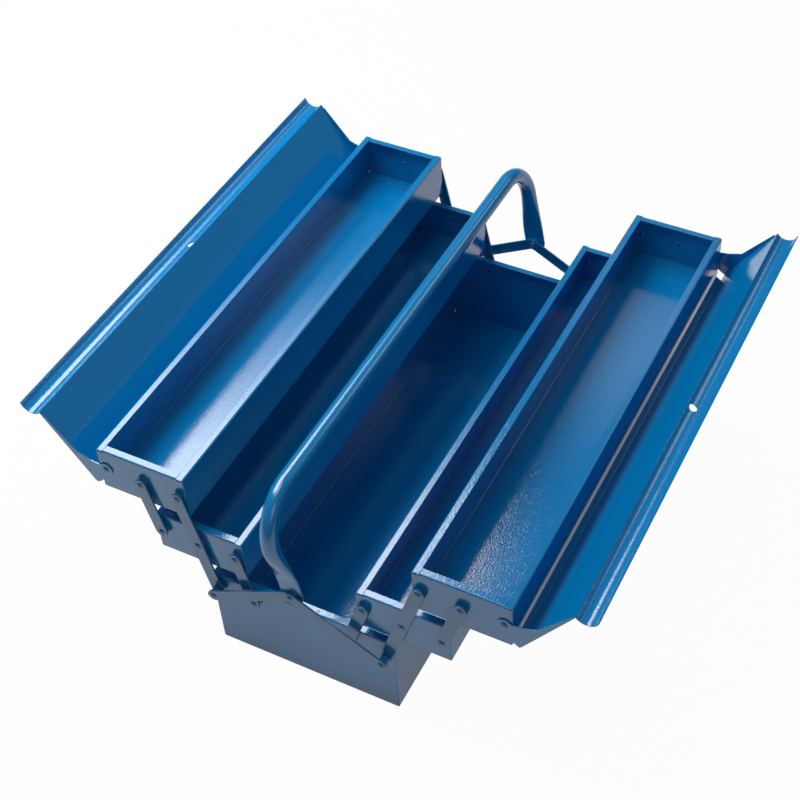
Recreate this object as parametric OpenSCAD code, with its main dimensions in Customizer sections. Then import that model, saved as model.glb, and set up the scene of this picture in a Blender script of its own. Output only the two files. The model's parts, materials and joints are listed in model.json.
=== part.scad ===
// Cantilever tool box: a base tray, two middle trays, two upper trays with lids, and a tube handle.
// It is drawn with all trays and both lids open. Millimetres.
// X runs across the box, Y along it and Z up. The origin is the middle of the base's underside.

/* [Box] */
// Length of every tray over its end walls
box_length = 530; // [440:2:600]
// Width of the base and of the closed stack
box_width = 200; // [180:1:220]
// Thickness of the tray and lid sheet
sheet = 1.0; // [0.8:0.1:1.2]
// Outer radius of the sheet bends
bend_radius = 2; // [2:0.5:4]
// Width of the turned-in rims
rim_width = 7.5; // [6:0.5:9]

/* [Trays] */
// Height of the base tray
base_height = 103; // [90:1:120]
// Height of the middle trays
mid_height = 48.5; // [44:0.5:58]
// Height of the upper trays
upper_height = 51.5; // [46:0.5:60]
// Gap between the left and right trays when closed
centre_gap = 7; // [5:0.5:12]
// Gap between stacked trays when closed
stack_gap = 0.5; // [0.3:0.1:1.5]
// Length of the welded tabs inside each end wall
tab_length = 12; // [8:1:16]

/* [Linkage] */
// Distance from a side wall to the nearest pivot
pivot_inset = 7.5; // [7:0.25:9]
// Depth of the base pivots below the base rim
base_pivot_drop = 17.5; // [15:0.5:24]
// Height of the middle tray pivots as a share of the tray height
mid_pivot_share = 0.6; // [0.5:0.02:0.66]
// Outward lean of the left links when open, degrees
left_open = 12; // [6:0.5:20]
// Outward lean of the right links when open, degrees
right_open = 18; // [6:0.5:20]
// Width of the links
link_width = 13; // [11:0.5:13.5]
// Thickness of the links and straps
link_thickness = 2; // [1.5:0.25:2.5]
// Distance of the links from the end walls
link_standoff = 3; // [2.5:0.25:4]
// Width of the handle straps
strap_width = 12.5; // [11:0.5:14]

/* [Rivets] */
// Diameter of the rivet shanks
shank_diameter = 5; // [4:0.5:6]
// Diameter of the rivet heads
head_diameter = 8; // [7:0.5:9]
// Height of the rivet heads
head_height = 2; // [1.5:0.25:2.25]
// Diameter of the washers and spacers
washer_diameter = 10; // [9.5:0.5:11]

/* [Lids] */
// Opening angle of the left lid from closed, degrees
left_lid_open = 124; // [100:0.5:124]
// Opening angle of the right lid from closed, degrees
right_lid_open = 124; // [100:0.5:124]
// Overhang of the lid beyond the outer wall
lid_overhang = 4.5; // [4.5:0.25:6]
// Depth of the outer skirt of the lid
skirt_depth = 7.5; // [6:0.25:8]
// Half width of the round ridge that the two lids form when closed
ridge_half = 15.5; // [13:0.5:18]
// Height of the ridge above the lid panel
ridge_rise = 15; // [13:0.5:17]
// Bulge of each curved lip beyond its chord
lip_bulge = 7; // [5:0.5:8]
// Diameter of the padlock holes
padlock_hole = 8.5; // [7:0.5:9]

/* [Handle] */
// Diameter of the handle tube
tube_diameter = 17; // [15:0.5:20]
// Wall thickness of the handle tube
tube_wall = 1.5; // [1.2:0.1:2]
// Height of the handle rivets above the base rim
handle_pivot_rise = 33; // [26:1:40]
// Height of the grip's middle line above the handle rivets
handle_reach = 112; // [106:1:130]
// Bend radius of the handle's middle line
handle_bend = 46; // [38:1:52]
// Lean of the handle to the left as drawn, degrees
handle_lean = 9; // [0:1:20]
// Width of the flattened tube ends
flat_width = 24; // [20:1:26]
// Thickness of the flattened tube ends
flat_thickness = 3.5; // [3:0.25:4.5]

/* [Hidden] */
$fn = 48;
running_fit = 0.05;
seam_gap = 0.3;
half_length = box_length / 2;
tray_width = (box_width - centre_gap) / 2;
link_step = tray_width / 2 - pivot_inset;
mid_pivot_z = mid_height * mid_pivot_share;
closed_rise = base_pivot_drop + stack_gap + mid_pivot_z;
upper_pivot_z = closed_rise - mid_height - stack_gap + mid_pivot_z;
link_reach = sqrt(link_step * link_step + closed_rise * closed_rise);
base_pivot_x = box_width / 2 - pivot_inset;
base_pivot_z = base_height - base_pivot_drop;
shank_radius = shank_diameter / 2;
hole_radius = shank_radius + running_fit;
head_radius = head_diameter / 2;
tail_height = 1.6;
tail_inset = 0.5;
tail_radius = head_radius - tail_inset;
fuse = 0.5;
cut_margin = 1;
panel_fit = 0.1;
tab_margin = 8;
side_tab_from = 0.22;
side_tab_share = 0.6;
rim_lap = 4;
ear_gap = 0.4;
ear_face = ear_gap + sheet;
link_face = link_standoff + link_thickness;

// Layers outside the end walls, each counted from the wall's outer face
strap_layer = link_face + running_fit + head_height + seam_gap;
handle_z = base_height + handle_pivot_rise;
strap_span = sqrt(base_pivot_x * base_pivot_x + (handle_z - base_pivot_z) * (handle_z - base_pivot_z));
strap_tilt = atan2(handle_z - base_pivot_z, base_pivot_x);
near_leg = strap_layer;
near_left_strap = near_leg + flat_thickness + running_fit;
near_right_strap = near_left_strap + link_thickness;
far_right_strap = strap_layer;
far_left_strap = far_right_strap + link_thickness;
far_leg = far_left_strap + link_thickness + running_fit;
handle_stack = flat_thickness + running_fit + 2 * link_thickness;

// Lid section when closed, counted from the lid hinge: first value outward, second up.
// Its underside lies high enough to pass over the rounded outer edge of the tray as the lid turns
rim_up = upper_height - upper_pivot_z;
edge_reach = sqrt(pow(pivot_inset - bend_radius, 2) + pow(rim_up - bend_radius, 2)) + bend_radius;
lid_under = max(rim_up + stack_gap, edge_reach + seam_gap);
lid_middle = lid_under + sheet / 2;
lid_top = lid_under + sheet;
skirt_out = pivot_inset + lid_overhang;
crease_in = base_pivot_x - ridge_half;
lip_gap = 1.2;
lip_edge_in = base_pivot_x - lip_gap / 2;
chord = sqrt(pow(lip_edge_in - crease_in, 2) + ridge_rise * ridge_rise);
lip_radius = (chord * chord / 4 + lip_bulge * lip_bulge) / (2 * lip_bulge);
lip_set = lip_radius - lip_bulge;
lip_centre_out = -(crease_in + lip_edge_in) / 2 - ridge_rise / chord * lip_set;
lip_centre_up = lid_middle + ridge_rise / 2 - (lip_edge_in - crease_in) / chord * lip_set;
lip_start = atan2(lid_middle - lip_centre_up, -crease_in - lip_centre_out);
lip_end = atan2(lid_middle + ridge_rise - lip_centre_up, -lip_edge_in - lip_centre_out);
padlock_margin = 2;
padlock_turn = lip_start + asin(padlock_hole / 2 / lip_radius) + padlock_margin / lip_radius * 180 / PI;
skirt_relief = 11;
skirt_lap = 5;
lip_steps = 4;

// Ear of the lid: its tongue at the hinge, its depth at the skirt, shoulder, arm and tip
ear_tongue = 7.2;
ear_skirt_depth = 7;
ear_notch = [7, 1.2];
ear_cheek = [6.4, 3];
ear_shoulder = [13.5, 10.5];
ear_arm = 25;
ear_arm_depth = 6.5;
ear_tip_depth = 1.5;
ear_tip_margin = 4;

// Handle tube
tube_radius = tube_diameter / 2;
leg_y = half_length + strap_layer + tube_radius;
grip_z = handle_z + handle_reach;
bend_y = leg_y - handle_bend;
flat_length = 30;
taper_length = 24;
leg_length = handle_reach - handle_bend - flat_length - taper_length;
foot_shoulder = 6;
foot_neck = 8;
foot_neck_margin = 0.6;
vent_radius = 2;
vent_inset = 10;

blue = [0.05, 0.27, 0.52];
steel = [0.35, 0.42, 0.5];

// Placing: everything is drawn on the right side and at the near end, then mirrored
module on_side(side) {
    if (side < 0) mirror([1, 0, 0]) children();
    else children();
}

module at_end(far) {
    if (far) mirror([0, 1, 0]) children();
    else children();
}

module both_ends() {
    children();
    mirror([0, 1, 0]) children();
}

function lean(side) = side < 0 ? left_open : right_open;

module at_mid_tray(side) {
    a = lean(side);
    on_side(side)
        translate([base_pivot_x + link_reach * sin(a), 0, base_pivot_z + link_reach * cos(a) - mid_pivot_z])
            children();
}

module at_upper_tray(side) {
    a = lean(side);
    on_side(side)
        translate([
            base_pivot_x + 2 * link_reach * sin(a) + link_step, 0,
            base_pivot_z + 2 * link_reach * cos(a) - upper_pivot_z
        ])
            children();
}

// Turns an upright drawing so that it lies on the near end wall and grows outward from it
module on_wall(x, z, out = 0) {
    translate([x, -half_length - out, z]) rotate([90, 0, 0]) children();
}

// Sheet metal sections
module rounded(w, h, r) {
    translate([-w / 2 + r, 0]) square([w - 2 * r, h]);
    translate([-w / 2, r]) square([w, h - 2 * r]);
    for (x = [-1, 1], z = [r, h - r])
        translate([x * (w / 2 - r), z]) circle(r);
}

// Quarter bend from an upright leg at the left to a level leg at the top, outer corner at the origin
module elbow(down, along) {
    translate([0, -down]) square([sheet, down - bend_radius]);
    translate([bend_radius, -sheet]) square([along - bend_radius, sheet]);
    intersection() {
        translate([bend_radius, -bend_radius])
            difference() {
                circle(bend_radius);
                circle(bend_radius - sheet);
            }
        translate([0, -bend_radius]) square(bend_radius);
    }
}

// A folded trough: floor, two long walls and their turned-in rims
module trough(w, h) {
    rotate([90, 0, 0])
        linear_extrude(box_length, center = true)
            difference() {
                rounded(w, h, bend_radius);
                translate([0, sheet]) rounded(w - 2 * sheet, h - 2 * sheet, bend_radius - sheet);
                translate([-w / 2 + rim_width, h / 2]) square([w - 2 * rim_width, h]);
            }
}

// A near end wall with its rim, floor tab and side tabs; pivots lists the rivet holes as [x, z]
module end_panel(w, h, pivots) {
    side_x = w / 2 - sheet;
    edge_x = side_x - panel_fit;
    rim_half = w / 2 - rim_width - seam_gap;
    tab_half = w / 2 - bend_radius - tab_margin;
    difference() {
        union() {
            on_wall(0, 0, -sheet)
                linear_extrude(sheet)
                    polygon([
                        [-side_x + bend_radius, sheet], [side_x - bend_radius, sheet],
                        [edge_x, sheet + bend_radius], [edge_x, h - bend_radius],
                        [-edge_x, h - bend_radius], [-edge_x, sheet + bend_radius]
                    ]);
            translate([-rim_half, -half_length, h])
                rotate([90, 0, 90])
                    linear_extrude(2 * rim_half) elbow(bend_radius + rim_lap, rim_width);
            translate([-tab_half, -half_length, sheet]) cube([2 * tab_half, tab_length, sheet]);
            for (s = [0, 1])
                mirror([s, 0, 0])
                    translate([side_x - sheet, -half_length, h * side_tab_from])
                        cube([sheet, tab_length, h * side_tab_share]);
        }
        for (p = pivots)
            on_wall(p[0], p[1], -2 * sheet) cylinder(r = hole_radius, h = 3 * sheet);
    }
}

mid_pivots = [[-link_step, mid_pivot_z], [0, mid_pivot_z], [link_step, mid_pivot_z]];
upper_pivots = [[-link_step, upper_pivot_z], [0, upper_pivot_z], [link_step, upper_pivot_z]];
base_pivots = [
    [-base_pivot_x, base_pivot_z], [link_step - base_pivot_x, base_pivot_z],
    [base_pivot_x - link_step, base_pivot_z], [base_pivot_x, base_pivot_z]
];

// Fasteners on the near end wall
module dome(r, h) {
    ball = (r * r + h * h) / (2 * h);
    intersection() {
        cylinder(r = r + cut_margin, h = h + cut_margin);
        translate([0, 0, h - ball]) sphere(ball);
    }
}

// A rivet from its formed tail inside the wall to a domed head at the given distance outside it
module rivet(out) {
    translate([0, 0, -sheet - fuse]) cylinder(r = shank_radius, h = out + sheet + 2 * fuse);
    mirror([0, 0, 1]) translate([0, 0, sheet]) dome(tail_radius, tail_height);
    translate([0, 0, out]) dome(head_radius, head_height);
}

module ring(h) {
    difference() {
        cylinder(d = washer_diameter, h = h);
        translate([0, 0, -cut_margin]) cylinder(r = hole_radius, h = h + 2 * cut_margin);
    }
}

// Flat bars with round ends, drawn upward from their first pivot
module bar(length, width, holes) {
    linear_extrude(link_thickness)
        difference() {
            union() {
                translate([-width / 2, 0]) square([width, length]);
                circle(d = width);
                translate([0, length]) circle(d = width);
            }
            for (z = holes) translate([0, z]) circle(hole_radius);
        }
}

module link(side, far, x, z, steps) {
    on_side(side)
        at_end(far)
            translate([x, -half_length - link_standoff, z])
                rotate([90, 0, 0])
                    rotate([0, 0, -lean(side)])
                        bar(steps * link_reach, link_width, [for (i = [0 : steps]) i * link_reach]);
}

module long_link(side, far) {
    color(blue) link(side, far, base_pivot_x, base_pivot_z, 2);
}

module lower_link(side, far) {
    color(blue) link(side, far, base_pivot_x - link_step, base_pivot_z, 1);
}

module upper_link(side, far) {
    a = lean(side);
    color(blue)
        link(
            side, far, base_pivot_x + link_reach * sin(a) + link_step, base_pivot_z + link_reach * cos(a), 1);
}

// A strap from a base pivot up to the handle rivet
module strap(side, far, layer) {
    color(blue)
        on_side(side)
            at_end(far)
                on_wall(base_pivot_x, base_pivot_z, layer)
                    rotate([0, 0, 90 - strap_tilt]) bar(strap_span, strap_width, [0, strap_span]);
}

// Base
module base_trough() {
    color(blue) trough(box_width, base_height);
}

module base_end(far) {
    color(blue) at_end(far) end_panel(box_width, base_height, base_pivots);
}

module base_rivets() {
    color(steel)
        both_ends()
            for (side = [-1, 1])
                on_wall(side * (base_pivot_x - link_step), base_pivot_z) rivet(link_face + running_fit);
}

module base_washers() {
    color(steel)
        both_ends()
            for (p = base_pivots)
                on_wall(p[0], p[1]) ring(link_standoff - running_fit);
}

module strap_rivets() {
    color(steel) {
        on_wall(-base_pivot_x, base_pivot_z) rivet(near_left_strap + link_thickness);
        on_wall(base_pivot_x, base_pivot_z) rivet(near_right_strap + link_thickness);
        at_end(true) {
            on_wall(-base_pivot_x, base_pivot_z) rivet(far_left_strap + link_thickness);
            on_wall(base_pivot_x, base_pivot_z) rivet(far_right_strap + link_thickness);
        }
    }
}

module strap_spacers() {
    first = link_face + running_fit;
    color(steel) {
        on_wall(-base_pivot_x, base_pivot_z, first) ring(near_left_strap - first);
        on_wall(base_pivot_x, base_pivot_z, first) ring(near_right_strap - first);
        at_end(true) {
            on_wall(-base_pivot_x, base_pivot_z, first) ring(far_left_strap - first);
            on_wall(base_pivot_x, base_pivot_z, first) ring(far_right_strap - first);
        }
    }
}

// Handle: a bent tube with flattened ends
module handle_rivets() {
    color(steel)
        both_ends()
            on_wall(0, handle_z, strap_layer) {
                translate([0, 0, -fuse]) cylinder(r = shank_radius, h = handle_stack + 2 * fuse);
                mirror([0, 0, 1]) dome(tail_radius, tail_height);
                translate([0, 0, handle_stack]) dome(head_radius, head_height);
            }
}

// Near half of the grip and its bend, swept with the given radius, with a straight leg of the given length
module tube_half(r, leg) {
    translate([0, 0, grip_z]) rotate([90, 0, 0]) cylinder(r = r, h = bend_y);
    translate([0, -bend_y, grip_z - handle_bend])
        rotate([0, 0, -90]) rotate([90, 0, 0])
            rotate_extrude(angle = 90) translate([handle_bend, 0]) circle(r);
    if (leg > 0) translate([0, -leg_y, grip_z - handle_bend - leg]) cylinder(r = r, h = leg);
}

// Flattened foot of the near leg, drawn from the handle rivet upward; inner is its first layer
module flat_foot(inner) {
    neck_half = tube_radius + foot_neck_margin;
    leg_out = leg_y - half_length;
    on_wall(0, handle_z, inner)
        linear_extrude(flat_thickness)
            difference() {
                union() {
                    circle(d = flat_width);
                    polygon([
                        [-flat_width / 2, 0], [flat_width / 2, 0],
                        [flat_width / 2, flat_length - foot_shoulder],
                        [neck_half, flat_length + foot_neck], [-neck_half, flat_length + foot_neck],
                        [-flat_width / 2, flat_length - foot_shoulder]
                    ]);
                }
                circle(hole_radius);
            }
    intersection() {
        translate([0, -leg_y, handle_z + flat_length]) cylinder(r = tube_radius, h = taper_length);
        translate([-tube_diameter, -half_length, handle_z])
            rotate([90, 0, 90])
                linear_extrude(2 * tube_diameter)
                    polygon([
                        [-inner, flat_length], [-inner - flat_thickness, flat_length],
                        [-leg_out - tube_radius, flat_length + taper_length],
                        [-leg_out + tube_radius, flat_length + taper_length]
                    ]);
    }
}

// The tube is hollow down to its pressed feet, and a vent under each end of the grip drains the coating
module handle() {
    color(blue)
        translate([0, 0, handle_z]) rotate([0, -handle_lean, 0]) translate([0, 0, -handle_z]) {
            difference() {
                both_ends() tube_half(tube_radius, leg_length + fuse);
                both_ends() tube_half(tube_radius - tube_wall, leg_length);
                both_ends()
                    translate([0, vent_inset - bend_y, grip_z - tube_diameter])
                        cylinder(r = vent_radius, h = tube_diameter);
            }
            flat_foot(near_leg);
            mirror([0, 1, 0]) flat_foot(far_leg);
        }
}

// Middle trays
module mid_trough(side) {
    color(blue) at_mid_tray(side) trough(tray_width, mid_height);
}

module mid_end(side, far) {
    color(blue) at_mid_tray(side) at_end(far) end_panel(tray_width, mid_height, mid_pivots);
}

module mid_rivets(side) {
    color(steel)
        at_mid_tray(side) both_ends()
            for (p = mid_pivots) on_wall(p[0], p[1]) rivet(link_face + running_fit);
}

module mid_washers(side) {
    color(steel)
        at_mid_tray(side) both_ends()
            for (p = mid_pivots) on_wall(p[0], p[1]) ring(link_standoff - running_fit);
}

// Upper trays: the outermost rivets carry the lid
module upper_trough(side) {
    color(blue) at_upper_tray(side) trough(tray_width, upper_height);
}

module upper_end(side, far) {
    color(blue) at_upper_tray(side) at_end(far) end_panel(tray_width, upper_height, upper_pivots);
}

module upper_rivets(side) {
    color(steel)
        at_upper_tray(side) both_ends() {
            for (i = [0, 1]) on_wall(upper_pivots[i][0], upper_pivot_z) rivet(link_face + running_fit);
            on_wall(link_step, upper_pivot_z) rivet(ear_face + running_fit);
        }
}

module upper_washers(side) {
    color(steel)
        at_upper_tray(side) both_ends()
            for (i = [0, 1]) on_wall(upper_pivots[i][0], upper_pivot_z) ring(link_standoff - running_fit);
}

// Lid: flat panel, outer skirt, curved lip and two end ears with hinge tongues
module lip_section() {
    far_point = 3 * lip_radius;
    sweep = lip_end - lip_start;
    translate([lip_centre_out, lip_centre_up])
        intersection() {
            difference() {
                circle(lip_radius + sheet / 2);
                circle(lip_radius - sheet / 2);
            }
            polygon(concat(
                [[0, 0]],
                [for (i = [0 : lip_steps])
                    let (turn = lip_start + sweep * i / lip_steps)
                        far_point * [cos(turn), sin(turn)]]
            ));
        }
}

module ear_section() {
    difference() {
        union() {
            circle(ear_tongue);
            polygon([
                [skirt_out, lid_middle], [skirt_out, lid_middle - ear_skirt_depth], ear_notch,
                [0, 0], [-ear_cheek[0], ear_cheek[1]], [-ear_shoulder[0], ear_shoulder[1]],
                [-ear_arm, lid_middle - ear_arm_depth],
                [-crease_in + ear_tip_margin, lid_middle - ear_tip_depth],
                [-crease_in + ear_tip_margin, lid_middle]
            ]);
        }
        circle(hole_radius);
    }
}

module closed_lid() {
    lid_length = box_length + 2 * ear_face;
    skirt_length = box_length - 2 * skirt_relief;
    difference() {
        union() {
            rotate([90, 0, 0])
                linear_extrude(lid_length, center = true) {
                    translate([-crease_in - sheet / 2, lid_under])
                        square([crease_in + sheet / 2 + skirt_out - bend_radius, sheet]);
                    lip_section();
                }
            rotate([90, 0, 0])
                linear_extrude(skirt_length, center = true)
                    translate([skirt_out, lid_top])
                        mirror([1, 0]) elbow(skirt_depth, bend_radius + skirt_lap);
            both_ends()
                on_wall(0, 0, ear_gap) linear_extrude(sheet) ear_section();
        }
        translate([lip_centre_out, 0, lip_centre_up])
            rotate([0, 90 - padlock_turn, 0]) cylinder(d = padlock_hole, h = 2 * lip_radius);
    }
}

module lid(side) {
    turn = side < 0 ? left_lid_open : right_lid_open;
    color(blue)
        at_upper_tray(side)
            translate([link_step, 0, upper_pivot_z]) rotate([0, turn, 0]) closed_lid();
}

base_trough();
base_end(false);  // base_end_near
base_end(true);  // base_end_far
base_rivets();
base_washers();
strap_rivets();
strap_spacers();
strap(-1, false, near_left_strap);  // strap_left_near
strap(1, false, near_right_strap);  // strap_right_near
strap(-1, true, far_left_strap);  // strap_left_far
strap(1, true, far_right_strap);  // strap_right_far
handle();
handle_rivets();
mid_trough(-1);  // left_mid_trough
mid_end(-1, false);  // left_mid_end_near
mid_end(-1, true);  // left_mid_end_far
mid_rivets(-1);  // left_mid_rivets
mid_washers(-1);  // left_mid_washers
mid_trough(1);  // right_mid_trough
mid_end(1, false);  // right_mid_end_near
mid_end(1, true);  // right_mid_end_far
mid_rivets(1);  // right_mid_rivets
mid_washers(1);  // right_mid_washers
upper_trough(-1);  // left_upper_trough
upper_end(-1, false);  // left_upper_end_near
upper_end(-1, true);  // left_upper_end_far
upper_rivets(-1);  // left_upper_rivets
upper_washers(-1);  // left_upper_washers
upper_trough(1);  // right_upper_trough
upper_end(1, false);  // right_upper_end_near
upper_end(1, true);  // right_upper_end_far
upper_rivets(1);  // right_upper_rivets
upper_washers(1);  // right_upper_washers
long_link(-1, false);  // left_long_link_near
long_link(-1, true);  // left_long_link_far
lower_link(-1, false);  // left_lower_link_near
lower_link(-1, true);  // left_lower_link_far
upper_link(-1, false);  // left_upper_link_near
upper_link(-1, true);  // left_upper_link_far
long_link(1, false);  // right_long_link_near
long_link(1, true);  // right_long_link_far
lower_link(1, false);  // right_lower_link_near
lower_link(1, true);  // right_lower_link_far
upper_link(1, false);  // right_upper_link_near
upper_link(1, true);  // right_upper_link_far
lid(-1);  // left_lid
lid(1);  // right_lid
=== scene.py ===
# Cantilever tool box in blue powder coat: a base, two pairs of swing-out trays, two lids and a tube handle.
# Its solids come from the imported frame, in metres. Near is -Y, far is +Y, left is -X.
import json
import math

import bpy
from mathutils import Matrix, Vector


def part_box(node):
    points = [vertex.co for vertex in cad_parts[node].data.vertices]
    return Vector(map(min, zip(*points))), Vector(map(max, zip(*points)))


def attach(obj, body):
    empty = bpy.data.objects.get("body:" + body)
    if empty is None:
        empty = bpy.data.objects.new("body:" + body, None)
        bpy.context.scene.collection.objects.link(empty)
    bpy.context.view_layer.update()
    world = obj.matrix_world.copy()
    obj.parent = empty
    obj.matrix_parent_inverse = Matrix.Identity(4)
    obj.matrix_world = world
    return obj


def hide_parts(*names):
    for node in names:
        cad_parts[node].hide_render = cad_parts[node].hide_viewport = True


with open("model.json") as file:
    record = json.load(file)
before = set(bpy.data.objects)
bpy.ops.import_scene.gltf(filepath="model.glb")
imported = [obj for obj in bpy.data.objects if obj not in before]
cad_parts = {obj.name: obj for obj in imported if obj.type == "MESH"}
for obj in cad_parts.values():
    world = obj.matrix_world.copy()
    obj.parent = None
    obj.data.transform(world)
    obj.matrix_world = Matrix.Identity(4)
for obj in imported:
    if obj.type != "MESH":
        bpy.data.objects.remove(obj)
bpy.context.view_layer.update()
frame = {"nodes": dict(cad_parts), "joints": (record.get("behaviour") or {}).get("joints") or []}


# Base tray: a trough folded from 1 mm steel sheet, with two end walls welded in by their tabs.
# The box is coated as one batch: a glossy blue powder coat that dries to a fine orange peel.
# The bent and sheared edges are slightly round, because the powder flows over them.
class Wire:
    """An output socket in a node tree. Arithmetic on it adds Math nodes, and add() adds any other node."""

    def __init__(self, tree, socket=None):
        self.tree = tree
        self.socket = socket

    def add(self, kind, settings, inputs, output=0):
        """Adds a node: its settings are set first, then the values or links of its sockets."""
        node = self.tree.nodes.new(kind)
        for name, value in settings.items():
            setattr(node, name, value)
        for key, value in inputs.items():
            socket = pick_socket(node.inputs, key)
            if isinstance(value, Wire):
                self.tree.links.new(value.socket, socket)
            else:
                socket.default_value = value
        return Wire(self.tree, pick_socket(node.outputs, output)) if len(node.outputs) else None

    def math(self, operation, *values):
        return self.add("ShaderNodeMath", {"operation": operation}, dict(enumerate(values)))

    def __add__(self, other):
        return self.math("ADD", self, other)

    def __radd__(self, other):
        return self.math("ADD", other, self)

    def __sub__(self, other):
        return self.math("SUBTRACT", self, other)

    def __mul__(self, other):
        return self.math("MULTIPLY", self, other)

    def __rmul__(self, other):
        return self.math("MULTIPLY", other, self)

    def __truediv__(self, other):
        return self.math("DIVIDE", self, other)

    def __pow__(self, other):
        return self.math("POWER", self, other)


def pick_socket(sockets, key):
    """The socket with that index, identifier or name."""
    if isinstance(key, int):
        return sockets[key]
    for socket in sockets:
        if socket.identifier == key:
            return socket
    return sockets[key]


def powder_coat(name, deep, light, roughness, peel):
    """A gloss powder coat. Its blue drifts between deep and light; peel is the height of its orange peel."""
    drift_scale = 7.0
    drift_detail = 3.0
    gloss_drift = 0.04
    gloss_index = 1.9
    peel_scale = 540.0
    wave_scale = 26.0
    wave_height = 0.00004
    fine_detail = 1.0
    material = bpy.data.materials.new(name)
    material.use_nodes = True
    tree = material.node_tree
    tree.nodes.clear()
    place = Wire(tree).add("ShaderNodeTexCoord", {}, {}, "Object")
    noise = "ShaderNodeTexNoise"
    drift = place.add(noise, {}, {"Vector": place, "Scale": drift_scale, "Detail": drift_detail}, "Fac")
    orange = place.add(noise, {}, {"Vector": place, "Scale": peel_scale, "Detail": fine_detail}, "Fac")
    wave = place.add(noise, {}, {"Vector": place, "Scale": wave_scale, "Detail": fine_detail}, "Fac")
    colour = place.add(
        "ShaderNodeMix", {"data_type": "RGBA"},
        {"Factor_Float": drift, "A_Color": (*deep, 1), "B_Color": (*light, 1)}, "Result_Color")
    height = orange * peel + wave * wave_height
    normal = place.add("ShaderNodeBump", {}, {"Height": height, "Distance": 1.0, "Strength": 1.0}, "Normal")
    shader = place.add("ShaderNodeBsdfPrincipled", {}, {
        "Base Color": colour,
        "Roughness": roughness + (drift - 0.5) * gloss_drift,
        "IOR": gloss_index,
        "Normal": normal,
    }, "BSDF")
    place.add("ShaderNodeOutputMaterial", {}, {"Surface": shader})
    return material


def dress(names, material, edge):
    """Gives CAD nodes their coat and rounds their sharp edges by the given radius."""
    merge_distance = 0.00001
    flat_angle = math.radians(0.5)
    sharp_angle = math.radians(32)
    edge_steps = 2
    for name in names:
        node = frame["nodes"][name]
        node.data.materials.clear()
        node.data.materials.append(material)
        weld = node.modifiers.new("merge", "WELD")
        weld.merge_threshold = merge_distance
        flat = node.modifiers.new("flat", "DECIMATE")
        flat.decimate_type = "DISSOLVE"
        flat.angle_limit = flat_angle
        bevel = node.modifiers.new("round", "BEVEL")
        bevel.width = edge
        bevel.segments = edge_steps
        bevel.limit_method = "ANGLE"
        bevel.angle_limit = sharp_angle
        bevel.face_strength_mode = "FSTR_AFFECTED"
        shade = node.modifiers.new("shade", "WEIGHTED_NORMAL")
        shade.keep_sharp = True
        shade.use_face_influence = True


tray_deep = (0.001, 0.205, 0.50)
tray_light = (0.002, 0.235, 0.57)
tray_coat = powder_coat("tray_coat", tray_deep, tray_light, roughness=0.09, peel=0.00013)
sheet_edge = 0.00035
dress(["base_trough", "base_end_near", "base_end_far"], tray_coat, sheet_edge)


# Pips on the base's end rims: low round heads of the pins that hold the end walls while they are welded.
# They are steel, and the coat runs over them with the rest of the base.
pip_radius = 0.0018
pip_rise = 0.0006
pip_sink = 0.0003
rim_width = 0.0075
pip_segments = 24
pip_rings = 12
near_pips_x = (0.017,)
far_pips_x = (0.004, 0.040)


def size_input(group, name, value):
    """A named size of a node group, with its value as the default."""
    socket = group.interface.new_socket(name, in_out="INPUT", socket_type="NodeSocketFloat")
    socket.default_value = value
    return socket.identifier


def pip_group():
    """Node group that puts a low dome on every point of a mesh."""
    group = bpy.data.node_groups.new("rim_pips", "GeometryNodeTree")
    group.interface.new_socket("Geometry", in_out="INPUT", socket_type="NodeSocketGeometry")
    radius = size_input(group, "Radius", pip_radius)
    rise = size_input(group, "Rise", pip_rise)
    coat = group.interface.new_socket("Coat", in_out="INPUT", socket_type="NodeSocketMaterial")
    group.interface.new_socket("Geometry", in_out="OUTPUT", socket_type="NodeSocketGeometry")
    entry = group.nodes.new("NodeGroupInput")
    points = Wire(group, entry.outputs["Geometry"])
    wide = Wire(group, entry.outputs["Radius"])
    high = Wire(group, entry.outputs["Rise"])
    finish = Wire(group, entry.outputs["Coat"])
    ball = points.add(
        "GeometryNodeMeshUVSphere", {}, {"Segments": pip_segments, "Rings": pip_rings, "Radius": 1.0})
    ball = ball.add("GeometryNodeSetShadeSmooth", {}, {"Geometry": ball})
    scale = points.add("ShaderNodeCombineXYZ", {}, {"X": wide, "Y": wide, "Z": high})
    heads = points.add(
        "GeometryNodeInstanceOnPoints", {}, {"Points": points, "Instance": ball, "Scale": scale})
    heads = heads.add("GeometryNodeRealizeInstances", {}, {"Geometry": heads})
    heads = heads.add("GeometryNodeSetMaterial", {}, {"Geometry": heads, "Material": finish})
    leave = group.nodes.new("NodeGroupOutput")
    group.links.new(heads.socket, leave.inputs["Geometry"])
    return group, {radius: pip_radius, rise: pip_rise, coat.identifier: tray_coat}


def grown(name, corners, edges, group, settings):
    """A plain mesh object that a node group grows from a few points and edges."""
    seed = bpy.data.meshes.new(name)
    seed.from_pydata(corners, edges, [])
    piece = bpy.data.objects.new(name, seed)
    bpy.context.scene.collection.objects.link(piece)
    modifier = piece.modifiers.new("grow", "NODES")
    modifier.node_group = group
    for identifier, value in settings.items():
        modifier[identifier] = value
    graph = bpy.context.evaluated_depsgraph_get()
    mesh = bpy.data.meshes.new_from_object(piece.evaluated_get(graph))
    piece.modifiers.clear()
    piece.data = mesh
    mesh.name = name
    return piece


near_low, near_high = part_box("base_end_near")
far_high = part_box("base_end_far")[1]
pip_places = [(x, near_low.y + rim_width / 2, near_high.z - pip_sink) for x in near_pips_x]
pip_places += [(x, far_high.y - rim_width / 2, far_high.z - pip_sink) for x in far_pips_x]
rim_pips = grown("rim_pips", pip_places, [], *pip_group())
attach(rim_pips, "base")


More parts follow.
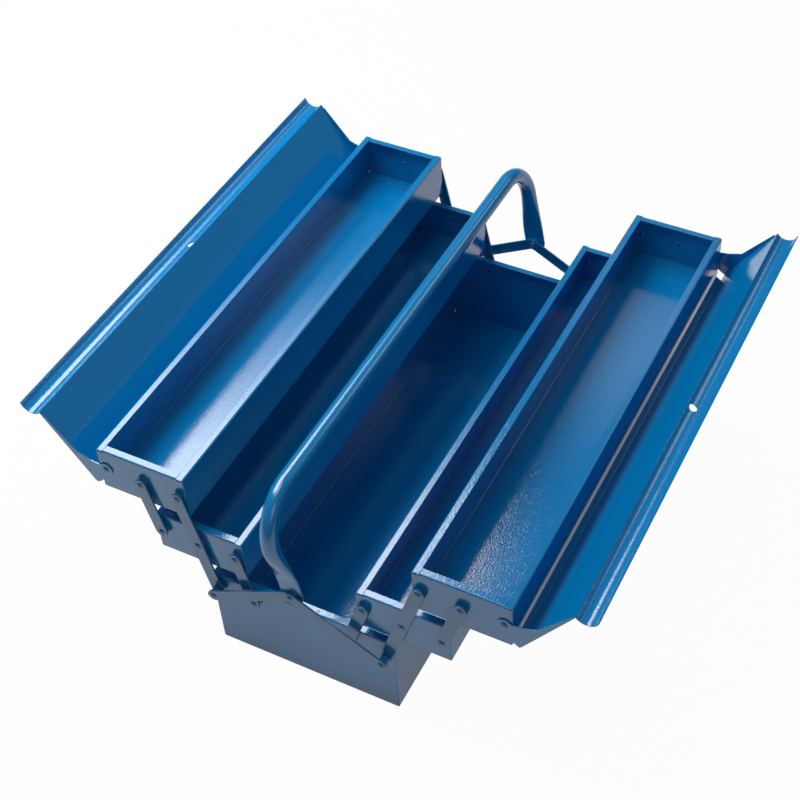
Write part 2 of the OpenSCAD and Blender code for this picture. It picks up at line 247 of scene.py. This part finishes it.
# Links: flat steel bars with round ends, blanked from 2 mm strip and hung on washers outside the end walls.
# A long link and two short ones at each corner keep the trays level as they swing. Straps of the same strip
# stand on the base's pivots and carry the handle.
link_deep = (0.001, 0.14, 0.34)
link_light = (0.002, 0.17, 0.41)
link_coat = powder_coat("link_coat", link_deep, link_light, roughness=0.15, peel=0.00005)
link_edge = 0.0004
sides = ("left", "right")
ends = ("near", "far")
for side in sides:
    for end in ends:
        dress([f"{side}_{kind}_link_{end}" for kind in ("long", "lower", "upper")], link_coat, link_edge)
        dress([f"strap_{side}_{end}"], link_coat, link_edge)


# Rivets, washers and spacers: small steel pieces at every pivot. A washer keeps each link off its end wall
# and a spacer keeps each strap off its link. They are set before coating, so the blue runs over the heads.
fastener_deep = (0.001, 0.13, 0.31)
fastener_light = (0.002, 0.16, 0.38)
fastener_coat = powder_coat("fastener_coat", fastener_deep, fastener_light, roughness=0.2, peel=0.00002)
fastener_edge = 0.0002
fastener_rows = ["base_rivets", "strap_rivets", "handle_rivets", "base_washers", "strap_spacers"]
for side in sides:
    for tray in ("mid", "upper"):
        fastener_rows.append(f"{side}_{tray}_rivets")
        fastener_rows.append(f"{side}_{tray}_washers")
dress(fastener_rows, fastener_coat, fastener_edge)


# Carrying handle: one steel tube, bent at two corners and pressed flat at both feet, leaning to the left.
# Each foot turns on a rivet through the straps, and a vent under each end of the grip drains the coating.
handle_deep = (0.001, 0.21, 0.50)
handle_light = (0.002, 0.24, 0.57)
handle_coat = powder_coat("handle_coat", handle_deep, handle_light, roughness=0.14, peel=0.00005)
handle_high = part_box("handle")[1]
handle_lean = math.radians(9)
handle_reach = 0.112
bend_radius = 0.046
tube_radius = 0.0085
foot_half_width = 0.012
foot_half_thickness = 0.00175
joints = {joint["name"]: joint for joint in frame["joints"]}
foot_turn = Vector(joints["handle_swing"]["pos_m"])
flat_rise = 0.014
round_rise = 0.072
foot_flat_top = foot_turn.z + flat_rise
foot_round_from = foot_turn.z + round_rise
leg_y = handle_high.y - tube_radius
grip_z = foot_turn.z + handle_reach
near_foot_gap = 0.0091
far_foot_gap = 0.01315
near_foot_y = far_high.y + near_foot_gap
far_foot_y = far_high.y + far_foot_gap
vent_radius = 0.002
vent_inset = 0.010
vent_y = leg_y - bend_radius - vent_inset
vent_points = 20
ring_spacing = 0.0015
ring_points = 32
bend_points = 32
seam_distance = 0.00001
foot_side_round = 0.8
foot_face_round = 0.35


def tube_group():
    """Node group that bends a tube along the object's own corner points and presses its ends flat."""
    group = bpy.data.node_groups.new("bent_tube", "GeometryNodeTree")
    group.interface.new_socket("Geometry", in_out="INPUT", socket_type="NodeSocketGeometry")
    sizes = {
        "Tube Radius": tube_radius, "Bend Radius": bend_radius, "Ring Spacing": ring_spacing,
        "Foot Half Width": foot_half_width, "Foot Half Thickness": foot_half_thickness,
        "Foot Turn": foot_turn.z, "Flat Top": foot_flat_top, "Round From": foot_round_from,
        "Leg Place": leg_y, "Near Foot Place": near_foot_y, "Far Foot Place": far_foot_y,
        "Vent Radius": vent_radius, "Vent Place": vent_y, "Grip Height": grip_z,
    }
    identifiers = {name: size_input(group, name, value) for name, value in sizes.items()}
    coat = group.interface.new_socket("Coat", in_out="INPUT", socket_type="NodeSocketMaterial")
    group.interface.new_socket("Geometry", in_out="OUTPUT", socket_type="NodeSocketGeometry")
    entry = group.nodes.new("NodeGroupInput")

    def given(name):
        return Wire(group, entry.outputs[name])

    start = given("Geometry")
    path = start.add("GeometryNodeMeshToCurve", {}, {"Mesh": start})
    path = path.add(
        "GeometryNodeFilletCurve", {"mode": "POLY"},
        {"Curve": path, "Count": bend_points, "Radius": given("Bend Radius")})
    path = path.add(
        "GeometryNodeResampleCurve", {"mode": "LENGTH"}, {"Curve": path, "Length": given("Ring Spacing")})
    ring = path.add(
        "GeometryNodeCurvePrimitiveCircle", {}, {"Resolution": ring_points, "Radius": given("Tube Radius")})
    tube = path.add("GeometryNodeCurveToMesh", {}, {"Curve": path, "Profile Curve": ring})
    spot = path.add("GeometryNodeInputPosition", {}, {})
    apart = spot.add("ShaderNodeSeparateXYZ", {}, {"Vector": spot}, "X").socket.node
    x, y, z = (Wire(group, output) for output in apart.outputs)
    end_sign = y.math("SIGN", y)
    reach = y.math("ABSOLUTE", y)
    across = x / given("Tube Radius")
    through = (reach - given("Leg Place")) / given("Tube Radius")
    drop = spot.math("MAXIMUM", given("Foot Turn") - z, 0.0) / given("Foot Half Width")
    drop = spot.math("MINIMUM", drop, 1.0) * (math.pi / 2)
    narrowing = spot.math("COSINE", drop)
    flat_z = spot.math("MAXIMUM", z, given("Foot Turn")) - given("Foot Half Width") * spot.math("SINE", drop)
    spread = spot.math("SIGN", across) * spot.math("ABSOLUTE", across) ** foot_side_round
    flat_x = spread * given("Foot Half Width") * narrowing
    is_far = spot.math("GREATER_THAN", y, 0.0)
    foot_y = given("Near Foot Place") + is_far * (given("Far Foot Place") - given("Near Foot Place"))
    squeezed = spot.math("SIGN", through) * spot.math("ABSOLUTE", through) ** foot_face_round
    flat_y = end_sign * (foot_y + squeezed * given("Foot Half Thickness"))
    pressed = spot.add("ShaderNodeMapRange", {"interpolation_type": "SMOOTHSTEP"}, {
        "Value": z, "From Min": given("Round From"), "From Max": given("Flat Top"),
        "To Min": 0.0, "To Max": 1.0})
    moved = spot.add("ShaderNodeCombineXYZ", {}, {
        "X": x + pressed * (flat_x - x), "Y": y + pressed * (flat_y - y), "Z": z + pressed * (flat_z - z)})
    tube = tube.add("GeometryNodeSetPosition", {}, {"Geometry": tube, "Position": moved})
    tube = tube.add("GeometryNodeMergeByDistance", {}, {"Geometry": tube, "Distance": seam_distance})
    drill = tube.add("GeometryNodeMeshCylinder", {}, {
        "Vertices": vent_points, "Radius": given("Vent Radius"), "Depth": given("Tube Radius")})
    drills = drill.add("GeometryNodeJoinGeometry", {}, {})
    for sign in (-1, 1):
        place = drill.add("ShaderNodeCombineXYZ", {}, {
            "Y": sign * given("Vent Place"), "Z": given("Grip Height") - given("Tube Radius")})
        placed = drill.add("GeometryNodeTransform", {}, {"Geometry": drill, "Translation": place})
        group.links.new(placed.socket, drills.socket.node.inputs["Geometry"])
    tube = tube.add(
        "GeometryNodeMeshBoolean", {"operation": "DIFFERENCE"}, {"Mesh 1": tube, "Mesh 2": drills})
    tube = tube.add("GeometryNodeSetShadeSmooth", {}, {"Geometry": tube})
    tube = tube.add("GeometryNodeRealizeInstances", {}, {"Geometry": tube})
    tube = tube.add("GeometryNodeSetMaterial", {}, {"Geometry": tube, "Material": given("Coat")})
    leave = group.nodes.new("NodeGroupOutput")
    group.links.new(tube.socket, leave.inputs["Geometry"])
    settings = {identifiers[name]: value for name, value in sizes.items()}
    settings[coat.identifier] = handle_coat
    return group, settings


foot_z = foot_turn.z - foot_half_width
handle_corners = [(0, -leg_y, foot_z), (0, -leg_y, grip_z), (0, leg_y, grip_z), (0, leg_y, foot_z)]
handle_edges = [(0, 1), (1, 2), (2, 3)]
handle_tube = grown("handle_tube", handle_corners, handle_edges, *tube_group())
handle_tube.data.transform(
    Matrix.Translation(foot_turn) @ Matrix.Rotation(-handle_lean, 4, "Y") @ Matrix.Translation(-foot_turn))
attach(handle_tube, "handle")
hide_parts("handle")


# Middle and upper trays: troughs folded from 1 mm steel sheet like the base's, about half as wide and deep.
# Their end walls are welded in by tabs, and the links are riveted to those walls.
for side in sides:
    for tray in ("mid", "upper"):
        dress([f"{side}_{tray}_{kind}" for kind in ("trough", "end_near", "end_far")], tray_coat, sheet_edge)


# Lids: panels of 1 mm steel sheet, with a folded skirt and a rolled lip that meets its twin when shut.
# An ear at each end hangs on a rivet in the upper tray's end wall.
# The lids take the trays' powder coat painted lighter: this is painted light, standing in for light that the
# lamps do not bring to the lids' open inner faces.
lid_deep_painted_lighter = (0.001, 0.225, 0.54)
lid_light_painted_lighter = (0.002, 0.255, 0.61)
lid_coat = powder_coat("lid_coat", lid_deep_painted_lighter, lid_light_painted_lighter, roughness=0.09, peel=0.00013)
for side in sides:
    dress([f"{side}_lid"], lid_coat, sheet_edge)


# Floor: a pale paper sheet under the box. It shows white to the eye, and in the gloss it shows partly white
# and partly its lit paper, which keeps a soft shadow of the box.
floor_half = 12.0
glow_share = 0.975
gloss_share = 0.38
paper_colour = (0.8, 0.8, 0.8, 1)
white = (1, 1, 1, 1)
floor_mesh = bpy.data.meshes.new("floor")
floor_mesh.from_pydata(
    [(-floor_half, -floor_half, 0), (floor_half, -floor_half, 0), (floor_half, floor_half, 0),
     (-floor_half, floor_half, 0)], [], [(0, 1, 2, 3)])
floor = bpy.data.objects.new("floor", floor_mesh)
bpy.context.scene.collection.objects.link(floor)
floor_paper = bpy.data.materials.new("floor_paper")
floor_paper.use_nodes = True
paper_tree = floor_paper.node_tree
paper_tree.nodes.clear()
rays = Wire(paper_tree).add("ShaderNodeLightPath", {}, {}).socket.node
seen = Wire(paper_tree, rays.outputs["Is Camera Ray"])
gloss = Wire(paper_tree, rays.outputs["Is Glossy Ray"])
gloss = gloss.math("MAXIMUM", gloss, Wire(paper_tree, rays.outputs["Is Transmission Ray"]))
share = seen.math("MAXIMUM", seen * glow_share, gloss * gloss_share)
matt = seen.add("ShaderNodeBsdfDiffuse", {}, {"Color": paper_colour})
glow = seen.add("ShaderNodeEmission", {}, {"Color": white, "Strength": 1.0})
both = seen.add("ShaderNodeMixShader", {}, {0: share, 1: matt, 2: glow})
seen.add("ShaderNodeOutputMaterial", {}, {"Surface": both})
floor_mesh.materials.append(floor_paper)


# Light: a large softbox hung level over the left side, which fades to the back in two steps, with a faint
# panel behind it. A soft light overhead, weak ones from the front and the back on the right, and a dim grey
# room that is white to the eye.
def softbox(name, place, aim, width, depth, radiance):
    """A rectangular area light at a place, turned to the aim, as bright as the radiance says."""
    lamp = bpy.data.lights.new(name, "AREA")
    lamp.shape = "RECTANGLE"
    lamp.size = width
    lamp.size_y = depth
    lamp.energy = radiance * math.pi * width * depth
    box = bpy.data.objects.new(name, lamp)
    box.location = place
    box.rotation_euler = (Vector(aim) - Vector(place)).to_track_quat("-Z", "Y").to_euler()
    box.visible_camera = False
    bpy.context.scene.collection.objects.link(box)


def level_panel(name, x, y, width, depth, radiance):
    """A softbox that hangs level at the height of the panels."""
    panel_height = 1.5
    softbox(name, (x, y, panel_height), (x, y, 0), width, depth, radiance)


level_panel("key", x=-0.84, y=0.205, width=1.02, depth=1.21, radiance=5.8)
level_panel("key_edge", x=-0.88, y=0.89, width=0.94, depth=0.16, radiance=3.0)
level_panel("key_fade", x=-0.93, y=1.07, width=0.84, depth=0.28, radiance=1.3)
level_panel("veil", x=-0.17, y=1.42, width=0.36, depth=0.45, radiance=0.6)
box_middle = (0, 0, 0.15)
softbox("overhead", (-0.15, -0.15, 2.2), box_middle, width=1.0, depth=1.0, radiance=2.2)
softbox("front", (1.2, -1.2, 1.5), box_middle, width=1.0, depth=1.0, radiance=0.6)
softbox("back", (1.5, 1.9, 1.9), box_middle, width=1.0, depth=0.8, radiance=1.2)

room = bpy.data.worlds.new("room")
bpy.context.scene.world = room
room.use_nodes = True
room_tree = room.node_tree
room_tree.nodes.clear()
room_grey = (0.09, 0.09, 0.092, 1)
looked_at = Wire(room_tree).add("ShaderNodeLightPath", {}, {}, "Is Camera Ray")
room_colour = looked_at.add(
    "ShaderNodeMix", {"data_type": "RGBA"},
    {"Factor_Float": looked_at, "A_Color": room_grey, "B_Color": white}, "Result_Color")
room_light = looked_at.add("ShaderNodeBackground", {}, {"Color": room_colour, "Strength": 1.0})
looked_at.add("ShaderNodeOutputWorld", {}, {"Surface": room_light})


# Camera: stands before the near end, a little to the right, and looks down into the trays by 45 degrees.
# Its angles, distance and lens come from a fit to the corners and rivets of the box.
azimuth = math.radians(27.966)
elevation = math.radians(45.444)
roll = math.radians(-2.284)
aim = Vector((-0.01925, 0.08218, 0.08210))
distance = 1.7003
back = Vector((
    math.sin(azimuth) * math.cos(elevation), -math.cos(azimuth) * math.cos(elevation), math.sin(elevation)))
level = Vector((math.cos(azimuth), math.sin(azimuth), 0))
upward = back.cross(level)
right = math.cos(roll) * level + math.sin(roll) * upward
above = math.cos(roll) * upward - math.sin(roll) * level
lens = bpy.data.cameras.new("camera")
lens.sensor_width = 36.0
lens.lens = 69.59
lens.shift_x = -0.0574
lens.shift_y = -0.0248
camera = bpy.data.objects.new("camera", lens)
turn = Matrix((right, above, back)).transposed().to_4x4()
camera.matrix_world = Matrix.Translation(aim + distance * back) @ turn
bpy.context.scene.collection.objects.link(camera)
bpy.context.scene.camera = camera
bpy.context.scene.view_settings.view_transform = "Standard"
